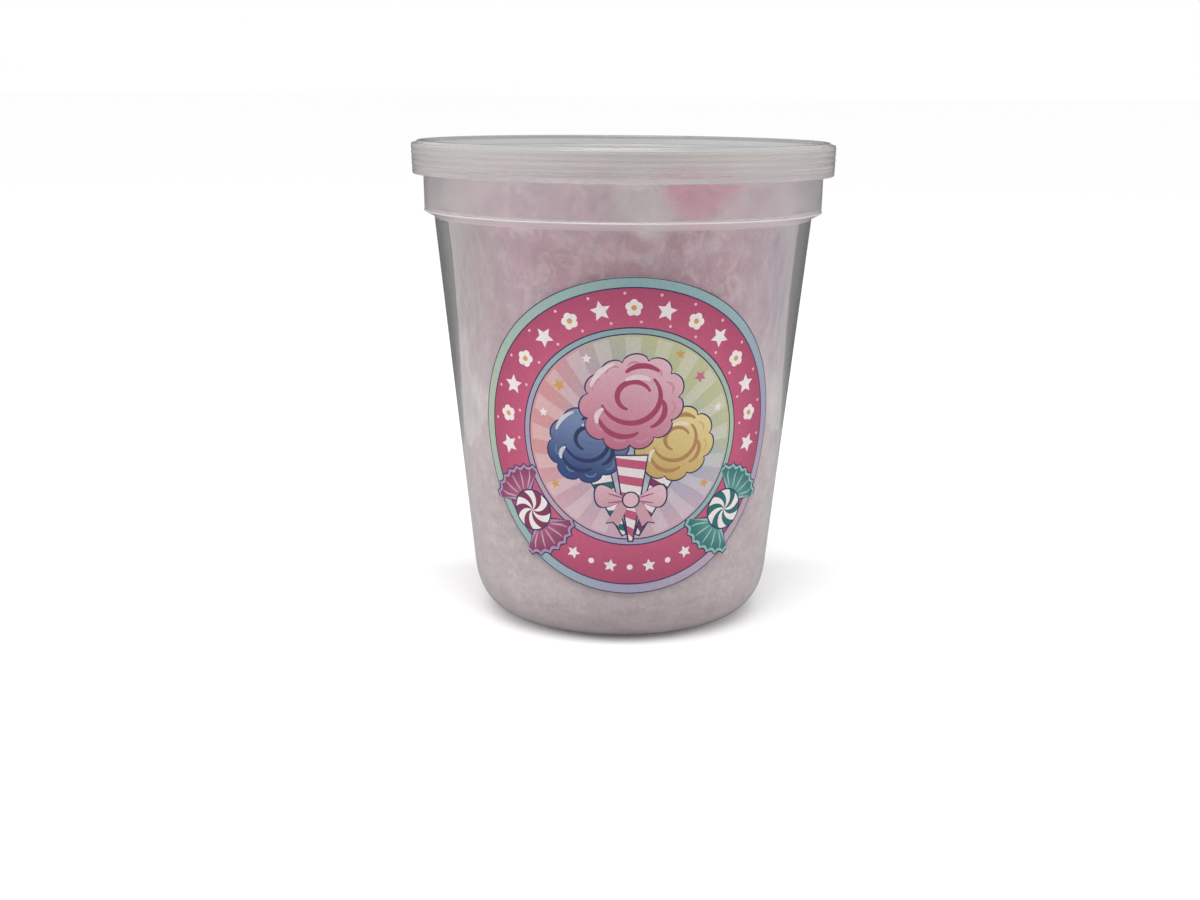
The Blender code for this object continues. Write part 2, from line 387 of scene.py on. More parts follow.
def wash_tone(x, y):
    """Medallion wash: salmon at the left, blue in the middle, green top right, rose below."""
    tone = blend(SALMON, SKY_WASH, (x + 22.0) / 22.0)
    tone = blend(tone, LIME_WASH, (0.7 * x + 0.7 * y - 4.0) / 18.0)
    return blend(tone, ROSE_WASH, (-y - 6.0) / 18.0)


def ray_tone(x, y):
    return blend(wash_tone(x, y), WHITE, 0.28)


def fade(low, high, bottom, top):
    """A tone that goes from one colour at the bottom to another at the top."""
    return lambda x, y: blend(low, high, (y + 0.25 * x - bottom) / (top - bottom))


class Print:
    """The shapes of a print in drawing order, each an outline and a tone."""

    def __init__(self):
        self.shapes = []

    def fill(self, outline, tone):
        self.shapes.append((outline, tone if callable(tone) else lambda x, y: tone))

    def inked(self, outline_of, tone, line=0.42):
        """A shape with an ink line round it; outline_of gives it grown by a width."""
        self.fill(outline_of(line), INK)
        self.fill(outline_of(0.0), tone)


def placed(x, y, points, turn=0.0):
    """The points turned and moved to a place."""
    cosine = math.cos(turn)
    sine = math.sin(turn)
    return [(x + px * cosine - py * sine, y + px * sine + py * cosine) for px, py in points]


def on_ring(radius, degrees):
    angle = math.radians(degrees)
    return radius * math.cos(angle), radius * math.sin(angle)


def disc(x, y, radius, count=40):
    points = [on_ring(radius, 360.0 * step / count) for step in range(count)]
    return placed(x, y, points)


def star(x, y, radius, turn=0.0):
    points = [on_ring(radius * (0.48 if step % 2 else 1.0), 90.0 + 36.0 * step) for step in range(10)]
    return placed(x, y, points, turn)


def arc(x, y, radius, start, end, count=14, tall=1.0, growth=0.0):
    points = []
    for step in range(count + 1):
        share = step / count
        px, py = on_ring(radius + growth * share, start + (end - start) * share)
        points.append((x + px, y + tall * py))
    return points


def stroke(points, width):
    """A brush line along the points that thins towards both ends."""
    left = []
    right = []
    last = len(points) - 1
    for index, (x, y) in enumerate(points):
        x_before, y_before = points[max(index - 1, 0)]
        x_after, y_after = points[min(index + 1, last)]
        length = math.hypot(x_after - x_before, y_after - y_before)
        half = 0.5 * width * math.sin(math.pi * (0.08 + 0.84 * index / last)) ** 0.6
        across_x = -(y_after - y_before) / length * half
        across_y = (x_after - x_before) / length * half
        left.append((x + across_x, y + across_y))
        right.append((x - across_x, y - across_y))
    return left + right[::-1]


def cloud(x, y, radius, bumps, turn, tall, growth):
    """The scalloped outline of a head of cotton candy."""
    points = []
    for step in range(bumps * 10):
        angle = math.tau * step / (bumps * 10)
        swell = 1.0 - 0.13 * (1.0 - abs(math.sin(0.5 * bumps * angle)) ** 0.6)
        swell *= 1.0 + 0.06 * math.sin(2.0 * angle + 3.0 * turn)
        reach = radius * swell + growth
        points.append((
            x + reach * math.cos(angle + turn),
            y + tall * reach * math.sin(angle + turn),
        ))
    return points


# Brush lines in a head of candy: offset in radii, radius in radii, start and end angle
DARK_SWIRLS = (
    (0.0, 0.15, 0.62, 200, 400),
    (0.0, 0.10, 0.36, 20, 250),
    (-0.10, -0.22, 0.55, 190, 300),
    (0.12, 0.30, 0.50, 40, 130),
    (0.28, -0.10, 0.42, -80, 30),
)
LIGHT_SWIRLS = ((-0.10, 0.12, 0.72, 110, 165), (0.10, 0.05, 0.48, 60, 120), (-0.42, -0.34, 0.26, 120, 200))


def draw_head(sheet, x, y, radius, bumps, dark, light, shade, turn, tall=1.0):
    """A head of cotton candy with swirls."""
    tone = fade(dark, light, y - radius, y + radius)
    sheet.inked(lambda growth: cloud(x, y, radius, bumps, turn, tall, growth), tone)
    for bump in range(bumps):
        way = math.degrees(turn) + 180.0 * (2 * bump + 1) / bumps
        px, py = on_ring(0.68 * radius, way)
        curl = arc(x + px, y + tall * py, 0.16 * radius, way - 62.0, way + 62.0, 10, tall)
        sheet.fill(stroke(curl, 0.05 * radius), blend(shade, light, 0.5))
    for dx, dy, reach, start, end in DARK_SWIRLS:
        line = arc(x + dx * radius, y + dy * radius, reach * radius, start, end, 18, tall, -0.1 * radius)
        sheet.fill(stroke(line, 0.11 * radius), shade)
    for dx, dy, reach, start, end in LIGHT_SWIRLS:
        line = arc(x + dx * radius, y + dy * radius, reach * radius, start, end, 12, tall)
        sheet.fill(stroke(line, 0.10 * radius), blend(light, WHITE, 0.6))


def draw_paper_cone(sheet, x, y, width, tip_x, tip_y, stripe):
    """A striped paper cone from its mouth at (x, y) to its tip."""
    length = math.hypot(tip_x - x, tip_y - y)
    turn = math.atan2(tip_y - y, tip_x - x) + 0.5 * math.pi

    def outline(growth):
        tip = 0.4 + growth
        wide = width + growth
        return placed(x, y, [(-wide, growth), (wide, growth), (tip, -length - growth), (-tip, -length - growth)], turn)

    sheet.inked(outline, WHITE)
    bands = 5
    for band in range(bands):
        top = -length * (band + 0.1) / bands
        low = top - 0.5 * length / bands
        slant = 0.22 * length / bands
        corners = []
        for side, drop in ((-1, top), (1, top - slant), (1, low - slant), (-1, low)):
            corners.append((side * (0.4 + (width - 0.4) * max(1.0 + drop / length, 0.0)), drop))
        sheet.fill(placed(x, y, corners, turn), stripe)


def draw_bow(sheet, x, y):
    """A ribbon bow that ties the cones together."""
    for side in (-1, 1):
        def tail(growth):
            points = [(0.0, 0.0), (side * 3.2, -7.6), (side * 4.6, -6.2), (side * 6.4, -6.6), (side * 2.2, 0.8)]
            return placed(x, y, [(px * (1.0 + 0.10 * growth), py * (1.0 + 0.14 * growth)) for px, py in points])

        def loop(growth):
            points = []
            for step in range(25):
                angle = math.pi * (step / 24 - 0.5)
                reach = (9.6 + growth) * math.cos(angle) ** 0.7
                points.append((x + side * reach, y + (3.4 + growth) * math.sin(2.0 * angle) * 0.9 + 0.12 * reach))
            return points

        sheet.inked(tail, BLUSH)
        sheet.inked(loop, fade(BLUSH, ROSE_PALE, y - 3.0, y + 4.0))
        for rise in (-0.16, 0.28):
            crease = [(x + side * step, y + rise * step) for step in (1.6, 3.2, 4.8, 6.2)]
            sheet.fill(stroke(crease, 0.5), MAUVE)
    sheet.inked(lambda growth: disc(x, y, 2.0 + growth, 24), ROSE_PALE)


def draw_sweet(sheet, x, y, size, turn, dark, light, edge):
    """A wrapped sweet: a pinwheel between two pleated fans of wrapper."""
    for side in (-1, 1):
        def fan(growth):
            points = []
            for step in range(29):
                share = step / 28
                reach = size * (2.35 - 0.16 * abs(math.cos(7.0 * math.pi * share))) + growth
                px, py = on_ring(reach, -46.0 + 92.0 * share)
                points.append((side * px, py))
            points.append((side * (0.7 * size - growth), 0.34 * size + growth))
            points.append((side * (0.7 * size - growth), -0.34 * size - growth))
            return placed(x, y, points, turn)

        def fan_tone(px, py):
            return blend(light, dark, (math.hypot(px - x, py - y) - 0.8 * size) / (1.5 * size))

        sheet.inked(fan, edge)
        sheet.fill(fan(-0.8), fan_tone)
        for pleat in (-34, -17, 0, 17, 34):
            crease = []
            for reach in (1.15, 1.4, 1.7, 2.0):
                px, py = on_ring(reach * size, pleat * min(1.0, reach / 1.6))
                crease.append((side * px, py))
            sheet.fill(placed(x, y, stroke(crease, 0.5), turn), blend(light, WHITE, 0.35))
    sheet.inked(lambda growth: disc(x, y, size + growth, 56), WHITE)
    for blade in range(6):
        start = turn + math.tau * blade / 6
        points = [(x, y)]
        for step in range(1, 9):
            points.append(placed(x, y, [(size * step / 8, 0.0)], start + 0.9 * step / 8)[0])
        for step in range(1, 5):
            points.append(placed(x, y, [(size, 0.0)], start + 0.9 + math.pi / 6 * step / 5)[0])
        for step in range(8, 0, -1):
            points.append(placed(x, y, [(size * step / 8, 0.0)], start + math.pi / 6 + 0.9 * step / 8)[0])
        sheet.fill(points, dark)


def draw_blossom(sheet, x, y, turn, size):
    for petal in range(5):
        px, py = placed(x, y, [(1.2 * size, 0.0)], turn + math.tau * petal / 5)[0]
        sheet.fill(disc(px, py, size, 20), WHITE)
    sheet.fill(disc(x, y, 0.7 * size, 16), GOLD)


def draw_frame(sheet):
    """Border, pink field and the medallion with its rays."""
    sheet.fill(disc(0.0, 0.0, LABEL_RADIUS, 180), INK)
    sheet.fill(disc(0.0, 0.0, LABEL_RADIUS - 0.25, 180), border_tone)
    sheet.fill(disc(0.0, 0.0, LABEL_RADIUS - BORDER_WIDTH, 160), INK)
    sheet.fill(disc(0.0, 0.0, LABEL_RADIUS - BORDER_WIDTH - KEYLINE, 160), field_tone)
    middle = MEDALLION_HEIGHT
    sheet.fill(disc(0.0, middle, MEDALLION_RADIUS + 2.0, 120), INK)
    sheet.fill(disc(0.0, middle, MEDALLION_RADIUS + 2.0 - KEYLINE, 120), lambda x, y: border_tone(-x, y))
    sheet.fill(disc(0.0, middle, MEDALLION_RADIUS + KEYLINE, 120), INK)
    sheet.fill(disc(0.0, middle, MEDALLION_RADIUS, 120), wash_tone)
    for ray in range(20):
        direction = 18.0 * ray
        outline = [(0.0, middle - 4.0)]
        for turn in (-4.5, 0.0, 4.5):
            x, y = on_ring(MEDALLION_RADIUS - 0.6, direction + turn)
            outline.append((x, y + middle))
        sheet.fill(outline, ray_tone)


def draw_garland(sheet):
    """Stars and blossoms round the upper ring, dots and small stars round the lower one."""
    for step in range(15):
        degrees = 188.0 - 196.0 * step / 14
        x, y = on_ring(RING_RADIUS, degrees)
        if step % 2:
            draw_blossom(sheet, x, y, math.radians(degrees), 1.05)
        else:
            sheet.fill(star(x, y, 2.8, math.radians(degrees - 90.0)), WHITE)
    for step in range(-3, 4):
        x, y = on_ring(RING_RADIUS + 0.4, 270.0 + 8.4 * step)
        if step % 2:
            sheet.fill(star(x, y, 1.9, math.radians(8.4 * step)), WHITE)
        else:
            sheet.fill(disc(x, y, 0.8, 16), WHITE)
    for step in range(28):
        x, y = on_ring(RING_RADIUS + (3.9 if step % 2 else -3.7), 188.0 - 196.0 * (step + 0.5) / 28)
        sheet.fill(disc(x, y, 0.40, 12), ROSE_PALE)


# Small stars in the medallion: place, size and colour
SPRINKLES = (
    (-19.6, 14.0, 1.9, GOLD),
    (18.4, 16.4, 1.8, ROSE),
    (-12.2, 21.8, 1.4, WHITE),
    (12.6, 23.0, 1.4, GOLD),
    (-24.2, 6.0, 1.3, WHITE),
    (24.2, 7.4, 1.3, WHITE),
    (-20.6, -13.6, 1.4, GOLD),
    (20.6, -13.6, 1.4, GOLD),
)


def draw_label():
    """The whole label: cotton candy on cones in a medallion, sweets and a garland round it."""
    sheet = Print()
    draw_frame(sheet)
    draw_garland(sheet)
    for x, y, size, colour in SPRINKLES:
        sheet.fill(star(x, y, size, 0.1 * x), colour)
    draw_paper_cone(sheet, -9.4, -7.5, 3.3, -1.7, -26.6, TEAL)
    draw_paper_cone(sheet, 9.6, -7.5, 3.3, 1.9, -26.6, PLUM)
    draw_head(sheet, -11.8, -1.6, 10.8, 9, BLUE, SKY, INK, 0.3)
    draw_head(sheet, 12.0, -1.6, 10.6, 9, AMBER, CREAM, blend(AMBER, PLUM, 0.35), 0.9)
    draw_paper_cone(sheet, 0.0, -4.5, 4.2, 0.1, -28.4, PINK)
    draw_head(sheet, 0.0, 10.2, 13.8, 11, ROSE, ROSE_PALE, PINK_DEEP, 0.1, 0.95)
    draw_bow(sheet, 0.0, -16.8)
    for side, dark, light, edge in ((-1, PLUM, MAUVE, LILAC), (1, TEAL, JADE, MINT)):
        x, y = on_ring(RING_RADIUS, 270.0 + 51.0 * side)
        draw_sweet(sheet, x, y, 5.5, math.radians(51.0 * side), dark, light, edge)
    return sheet


def wrapped(x, y, lift):
    """Where a flat label point lies on the tapered wall, lifted off it by that much."""
    slope = math.atan(TAPER)
    start = wall_radius(LABEL_CENTRE) / math.sin(slope)
    reach = math.hypot(x, start + y)
    angle = math.atan2(x, start + y) / math.sin(slope)
    radius = reach * math.sin(slope) + lift * math.cos(slope)
    height = LABEL_CENTRE + (reach - start) * math.cos(slope) - lift * math.sin(slope)
    return Vector((radius * math.sin(angle), -radius * math.cos(angle), height)) * MM


def covered(points, outline):
    """Which of the points lie within the outline, by how often it winds round them."""
    winding = np.zeros(len(points), dtype=int)
    for index, (x, y) in enumerate(outline):
        next_x, next_y = outline[(index + 1) % len(outline)]
        side = (next_x - x) * (points[:, 1] - y) - (points[:, 0] - x) * (next_y - y)
        rising = (y <= points[:, 1]) & (points[:, 1] < next_y) & (side > 0.0)
        falling = (next_y <= points[:, 1]) & (points[:, 1] < y) & (side < 0.0)
        winding += rising.astype(int) - falling.astype(int)
    return winding != 0


def topmost(points, shapes):
    """For each point the number of the shape drawn last over it, or -1."""
    result = np.full(len(points), -1)
    for number, (outline, tone) in enumerate(shapes):
        low = np.min(outline, axis=0)
        high = np.max(outline, axis=0)
        near = np.nonzero(np.all((points >= low) & (points <= high), axis=1))[0]
        result[near[covered(points[near], outline)]] = number
    return result


def printed_mesh(name, sheet, radius, spacing):
    """The print cut into one flush sheet with a paper back and rim.

    Each face in front takes the tone of the shape drawn last over it."""
    points = []
    edges = []
    for outline, tone in sheet.shapes:
        first = len(points)
        count = len(outline)
        edges += [(first + step, first + (step + 1) % count) for step in range(count)]
        points += [Vector(point) for point in outline]
    steps = int(radius / spacing)
    for row in range(-steps, steps + 1):
        for column in range(-steps, steps + 1):
            point = Vector(((column + 0.5 * (row % 2)) * spacing, row * spacing * 0.9))
            if point.length < radius - 0.5 * spacing:
                points.append(point)
    flat, cut_edges, triangles = delaunay_2d_cdt(points, edges, [], 0, 1e-5)[:3]
    corners = np.array([(point.x, point.y) for point in flat])
    owners = topmost(corners[np.array(triangles)].mean(axis=1), sheet.shapes)
    front = [tuple(triangle) for triangle, owner in zip(triangles, owners) if owner >= 0]
    tones = [sheet.shapes[owner][1] for owner in owners if owner >= 0]
    count = len(corners)
    sides = {(face[index - 1], face[index]) for face in front for index in range(3)}
    rim = [(b, a, a + count, b + count) for a, b in sides if (b, a) not in sides]
    back = [tuple(index + count for index in reversed(face)) for face in front]
    vertices = [wrapped(x, y, LABEL_LIFT + PAPER) for x, y in corners]
    vertices += [wrapped(x, y, LABEL_LIFT) for x, y in corners]
    mesh = bpy.data.meshes.new(name)
    mesh.from_pydata(vertices, [], front + back + sorted(rim))
    mesh.polygons.foreach_set("material_index", [0] * len(front) + [1] * (len(back) + len(rim)))
    colours = mesh.color_attributes.new("print", "FLOAT_COLOR", "CORNER")
    for polygon, tone in zip(mesh.polygons, tones):
        for corner_index in polygon.loop_indices:
            x, y = corners[mesh.loops[corner_index].vertex_index]
            colours.data[corner_index].color = (*tone(x, y), 1.0)
    outward = [(vertices[index] - vertices[index + count]).normalized() for index in range(count)]
    shading = []
    for polygon in mesh.polygons:
        for index in polygon.vertices:
            normal = outward[index % count] if len(polygon.vertices) == 3 else polygon.normal
            shading.append(-normal if polygon.index >= len(front) and len(polygon.vertices) == 3 else normal)
    mesh.shade_smooth()
    mesh.normals_split_custom_set(shading)
    return mesh


# ---------------------------------------------------------------- materials

def new_material(name):
    """A material, its node tree and its Principled shader."""
    material = bpy.data.materials.new(name)
    material.use_nodes = True
    tree = material.node_tree
    return material, tree, tree.nodes["Principled BSDF"]


def plastic(name, colour, roughness, transmission, grain, uneven=0.08):
    """Moulded translucent plastic with a faint uneven surface."""
    material, tree, shader = new_material(name)
    shader.inputs["Base Color"].default_value = (*colour, 1.0)
    shader.inputs["Transmission Weight"].default_value = transmission
    shader.inputs["IOR"].default_value = 1.49
    place = tree.nodes.new("ShaderNodeTexCoord")
    haze = tree.nodes.new("ShaderNodeTexNoise")
    haze.inputs["Scale"].default_value = 60.0
    haze.inputs["Detail"].default_value = 4.0
    tree.links.new(place.outputs["Object"], haze.inputs["Vector"])
    spread = tree.nodes.new("ShaderNodeMapRange")
    spread.inputs["From Min"].default_value = 0.3
    spread.inputs["From Max"].default_value = 0.7
    spread.inputs["To Min"].default_value = roughness * 0.85
    spread.inputs["To Max"].default_value = roughness * 1.15
    tree.links.new(haze.outputs["Fac"], spread.inputs["Value"])
    tree.links.new(spread.outputs["Result"], shader.inputs["Roughness"])
    bumps = tree.nodes.new("ShaderNodeTexNoise")
    bumps.inputs["Scale"].default_value = grain
    bumps.inputs["Detail"].default_value = 3.0
    tree.links.new(place.outputs["Object"], bumps.inputs["Vector"])
    bump = tree.nodes.new("ShaderNodeBump")
    bump.inputs["Strength"].default_value = uneven
    bump.inputs["Distance"].default_value = 0.0001
    tree.links.new(bumps.outputs["Fac"], bump.inputs["Height"])
    tree.links.new(bump.outputs["Normal"], shader.inputs["Normal"])
    return material


SUGAR_PALE = (0.545, 0.450, 0.460)
SUGAR_LOW = (0.445, 0.365, 0.378)
SUGAR_MAUVE = (0.375, 0.25, 0.30)
SUGAR_ROSE = (0.44, 0.255, 0.31)
SUGAR_CLOUD = (0.34, 0.155, 0.205)
SUGAR_PINK = (0.50, 0.14, 0.22)
SUGAR_WHITE = (0.53, 0.45, 0.455)
# Painted light on the candy: the next tone is a painted pale veil of reflected light at the lower sides, and the two
# after it are painted shade high up at the sides
SUGAR_PAINTED_VEIL = (0.47, 0.465, 0.465)
SUGAR_SHADE_LEFT = (0.235, 0.165, 0.17)
SUGAR_SHADE_RIGHT = (0.205, 0.148, 0.205)
PINK_CLUMP = (17.5, -50.0, 129.5)
WHITE_CLUMP = (3.5, -52.0, 123.0)


def linked_range(tree, value, low, high, to_low=0.0, to_high=1.0, smooth=True):
    """A node output remapped from low..high."""
    node = tree.nodes.new("ShaderNodeMapRange")
    if smooth:
        node.interpolation_type = "SMOOTHSTEP"
    node.inputs["From Min"].default_value = low
    node.inputs["From Max"].default_value = high
    node.inputs["To Min"].default_value = to_low
    node.inputs["To Max"].default_value = to_high
    tree.links.new(value, node.inputs["Value"])
    return node.outputs["Result"]


def linked_mix(tree, factor, first, second):
    """A colour mix; each colour is a value or a node output."""
    node = tree.nodes.new("ShaderNodeMix")
    node.data_type = "RGBA"
    tree.links.new(factor, node.inputs[0])
    for socket, colour in ((node.inputs[6], first), (node.inputs[7], second)):
        if isinstance(colour, tuple):
            socket.default_value = (*colour, 1.0)
        else:
            tree.links.new(colour, socket)
    return node.outputs[2]


def linked_math(tree, operation, first, second):
    node = tree.nodes.new("ShaderNodeMath")
    node.operation = operation
    for socket, value in zip(node.inputs, (first, second)):
        if isinstance(value, (int, float)):
            socket.default_value = value
        else:
            tree.links.new(value, socket)
    return node.outputs["Value"]


def linked_noise(tree, vector, scale, detail, rough=0.55, stretch=1.0, curl=0.0):
    """Noise in the object's own metres; stretch below 1 draws it out upwards, curl twists it."""
    mapping = tree.nodes.new("ShaderNodeMapping")
    mapping.inputs["Scale"].default_value = (1.0, 1.0, stretch)
    tree.links.new(vector, mapping.inputs["Vector"])
    node = tree.nodes.new("ShaderNodeTexNoise")
    node.inputs["Scale"].default_value = scale
    node.inputs["Detail"].default_value = detail
    node.inputs["Roughness"].default_value = rough
    node.inputs["Distortion"].default_value = curl
    tree.links.new(mapping.outputs["Vector"], node.inputs["Vector"])
    return node.outputs["Fac"]


def clump(tree, vector, middle, reach, ragged):
    """A soft ragged blob: 1 in its middle and 0 outside its reach, in mm."""
    node = tree.nodes.new("ShaderNodeVectorMath")
    node.operation = "DISTANCE"
    node.inputs[1].default_value = [value * MM for value in middle]
    tree.links.new(vector, node.inputs[0])
    uneven = linked_math(tree, "MULTIPLY_ADD", ragged, 0.008)
    uneven.node.inputs[2].default_value = -0.004
    distance = linked_math(tree, "ADD", node.outputs["Value"], uneven)
    return linked_range(tree, distance, reach * MM, 0.55 * reach * MM)


def linked_side(tree, place, across):
    """How far round to the side a point lies: 0 at the front and the back, 1 at the sides."""
    flat = tree.nodes.new("ShaderNodeVectorMath")
    flat.operation = "MULTIPLY"
    flat.inputs[1].default_value = (1.0, 1.0, 0.0)
    tree.links.new(place, flat.inputs[0])
    length = tree.nodes.new("ShaderNodeVectorMath")
    length.operation = "LENGTH"
    tree.links.new(flat.outputs["Vector"], length.inputs[0])
    return linked_math(tree, "DIVIDE", linked_math(tree, "ABSOLUTE", across, 0.0), length.outputs["Value"])


def sugar_shades(tree, place, side, axes, colour):
    """The colour with painted shade high up at the sides and a painted pale grey veil of reflected light lower down, in
    patches at the back.
    """
    across, back, height = axes["X"], axes["Y"], axes["Z"]
    uneven = linked_math(tree, "MULTIPLY_ADD", linked_noise(tree, place, 70.0, 4.0), 0.05)
    tree.links.new(height, uneven.node.inputs[2])
    patches = linked_range(tree, linked_noise(tree, place, 55.0, 4.0), 0.42, 0.60, 0.15, 1.0)
    patches = linked_math(tree, "MAXIMUM", patches, linked_range(tree, back, 0.012, -0.010))
    # Painted shade high up at the sides
    shaded = linked_range(tree, side, 0.54, 0.94, 0.0, 0.85)
    shaded = linked_math(tree, "MULTIPLY", shaded, linked_range(tree, uneven, 0.080, 0.125))
    shaded = linked_math(tree, "MULTIPLY", shaded, linked_range(tree, height, 0.124, 0.112, 0.5, 1.0))
    shaded = linked_math(tree, "MULTIPLY", shaded, patches)
    shade = linked_mix(tree, linked_range(tree, across, -0.02, 0.02), SUGAR_SHADE_LEFT, SUGAR_SHADE_RIGHT)
    colour = linked_mix(tree, shaded, colour, shade)
    # Painted pale veil of reflected light at the lower sides
    painted_veil = linked_range(tree, side, 0.80, 1.0, 0.0, 0.56)
    painted_veil = linked_math(tree, "MULTIPLY", painted_veil, linked_range(tree, height, 0.095, 0.050))
    painted_veil = linked_math(tree, "MULTIPLY", painted_veil, linked_range(tree, across, -0.03, 0.03, 0.12, 1.0))
    painted_veil = linked_math(tree, "MULTIPLY", painted_veil, patches)
    return linked_mix(tree, painted_veil, colour, SUGAR_PAINTED_VEIL)


def sugar_clouds(tree, place, axes):
    """The candy's colour: pale and darker towards the bottom, with mauve and rose clouds that gather below the band;
    the sides then take painted shade and a painted pale veil.
    """
    across, height = axes["X"], axes["Z"]
    colour = linked_mix(tree, linked_range(tree, height, 0.072, 0.030), SUGAR_PALE, SUGAR_LOW)
    side = linked_side(tree, place, across)
    strength = linked_range(tree, height, 0.030, 0.088, 0.12, 1.0)
    lift = linked_range(tree, height, 0.050, 0.106, -0.08, 0.12)
    for scale, low, high, most, tone in ((80.0, 0.40, 0.68, 1.0, SUGAR_MAUVE), (120.0, 0.50, 0.70, 0.8, SUGAR_ROSE)):
        clouds = linked_math(tree, "ADD", linked_noise(tree, place, scale, 6.0, 0.6, 0.85), lift)
        share = linked_math(tree, "MULTIPLY", linked_range(tree, clouds, low, high, 0.0, most), strength)
        colour = linked_mix(tree, share, colour, tone)
    belt = linked_math(tree, "MULTIPLY", linked_range(tree, height, 0.080, 0.097), linked_range(tree, side, 0.80, 0.25))
    belt = linked_math(tree, "MULTIPLY", belt, linked_range(tree, height, 0.122, 0.108))
    belt = linked_math(tree, "MULTIPLY", belt, linked_range(tree, linked_noise(tree, place, 95.0, 5.0), 0.32, 0.56))
    colour = linked_mix(tree, belt, colour, SUGAR_CLOUD)
    wisps = linked_range(tree, linked_noise(tree, place, 170.0, 6.0, 0.62, 0.9, 0.8), 0.50, 0.65, 0.0, 0.42)
    colour = linked_mix(tree, wisps, colour, SUGAR_PALE)
    return sugar_shades(tree, place, side, axes, colour)


def sugar_grain(tree, place, height):
    """Brightness of the fine wisps: upright on the wall, lying down towards the floor."""
    wisps = tree.nodes.new("ShaderNodeMix")
    tree.links.new(linked_range(tree, height, 0.060, 0.025), wisps.inputs[0])
    tree.links.new(linked_noise(tree, place, 190.0, 6.0, 0.6, 0.55), wisps.inputs[2])
    tree.links.new(linked_noise(tree, place, 150.0, 6.0, 0.6, 2.2), wisps.inputs[3])
    wisps = linked_range(tree, wisps.outputs[0], 0.30, 0.70, 0.91, 1.09)
    felt = linked_range(tree, linked_noise(tree, place, 1000.0, 3.0, 0.7, 0.7), 0.32, 0.68, 0.93, 1.07)
    return linked_math(tree, "MULTIPLY", wisps, felt)


def sugar_material(name, paler=0.0):
    """Spun sugar: pale pink with mauve and rose clouds, a pinker clump near the rim, painted shade and a painted pale
    veil at the sides and, on the skin, painted shade in the relief's hollows.
    """
    material, tree, shader = new_material(name)
    shader.inputs["Roughness"].default_value = 0.95
    shader.inputs["Sheen Weight"].default_value = 0.7
    shader.inputs["Sheen Roughness"].default_value = 0.5
    shader.inputs["Specular IOR Level"].default_value = 0.2
    place = tree.nodes.new("ShaderNodeTexCoord").outputs["Object"]
    split = tree.nodes.new("ShaderNodeSeparateXYZ")
    tree.links.new(place, split.inputs["Vector"])
    colour = sugar_clouds(tree, place, split.outputs)
    ragged = linked_noise(tree, place, 140.0, 4.0)
    colour = linked_mix(tree, clump(tree, place, WHITE_CLUMP, 12.0, ragged), colour, SUGAR_WHITE)
    colour = linked_mix(tree, clump(tree, place, PINK_CLUMP, 15.0, ragged), colour, SUGAR_PINK)
    if paler:
        constant = tree.nodes.new("ShaderNodeValue")
        constant.outputs[0].default_value = paler
        colour = linked_mix(tree, constant.outputs[0], colour, SUGAR_WHITE)
    else:
        # Painted shade: the relief's hollows darkened towards mauve by their depth
        depth = tree.nodes.new("ShaderNodeAttribute")
        depth.attribute_name = "depth"
        shade = linked_range(tree, depth.outputs["Fac"], 0.60, 1.10, 0.0, 0.25)
        colour = linked_mix(tree, shade, colour, SUGAR_MAUVE)
    scaled = tree.nodes.new("ShaderNodeVectorMath")
    scaled.operation = "SCALE"
    tree.links.new(colour, scaled.inputs[0])
    tree.links.new(sugar_grain(tree, place, split.outputs["Z"]), scaled.inputs["Scale"])
    tree.links.new(scaled.outputs["Vector"], shader.inputs["Base Color"])
    bump = tree.nodes.new("ShaderNodeBump")
    bump.inputs["Strength"].default_value = 0.35
    bump.inputs["Distance"].default_value = 0.0003
    tree.links.new(linked_noise(tree, place, 1500.0, 4.0, 0.6, 0.4), bump.inputs["Height"])
    tree.links.new(bump.outputs["Normal"], shader.inputs["Normal"])
    return material


# ---------------------------------------------------------------- pieces

def make_tub():
    """The tub: a clear tapered body under a hazy band. The band's lower lip is milkier plastic with a painted highlight
    line, and the shoulder under it a painted pale strip of light.
    """
    def slot_of(radius, height):
        # Slot 3 is the band's lower lip, milkier plastic with a painted highlight line; slot 2 is the shoulder under
        # the band, a painted pale strip of light
        if BAND_BOTTOM < height < BAND_BOTTOM + LIP_HEIGHT and radius > BAND_RADIUS_BOTTOM + 0.02:
            return 3
        if height < BAND_BOTTOM and radius > BODY_RADIUS_AT_TOP:
            return 2
        return 1 if height > BODY_TOP + 0.2 else 0

    tub = turned("tub_moulded", tub_outline(), slot_of)
    tub.data.materials.append(plastic("clear_polypropylene", (0.93, 0.93, 0.92), 0.03, 0.93, 90.0))
    tub.data.materials.append(plastic("hazy_polypropylene", (0.80, 0.78, 0.78), 0.20, 0.84, 120.0, 0.02))
    # A painted pale strip of light along the shoulder under the band
    tub.data.materials.append(plastic("shoulder_polypropylene_painted_light", (0.82, 0.735, 0.75), 0.20, 0.55, 120.0, 0.02))
    # Milkier plastic with a painted highlight line along the band's lower lip
    tub.data.materials.append(plastic("edge_polypropylene_painted_highlight", (0.74, 0.68, 0.685), 0.20, 0.25, 120.0, 0.02))
    tub.visible_shadow = False
    tub.visible_diffuse = False
    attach(tub, "root")
    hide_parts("tub")
    return tub


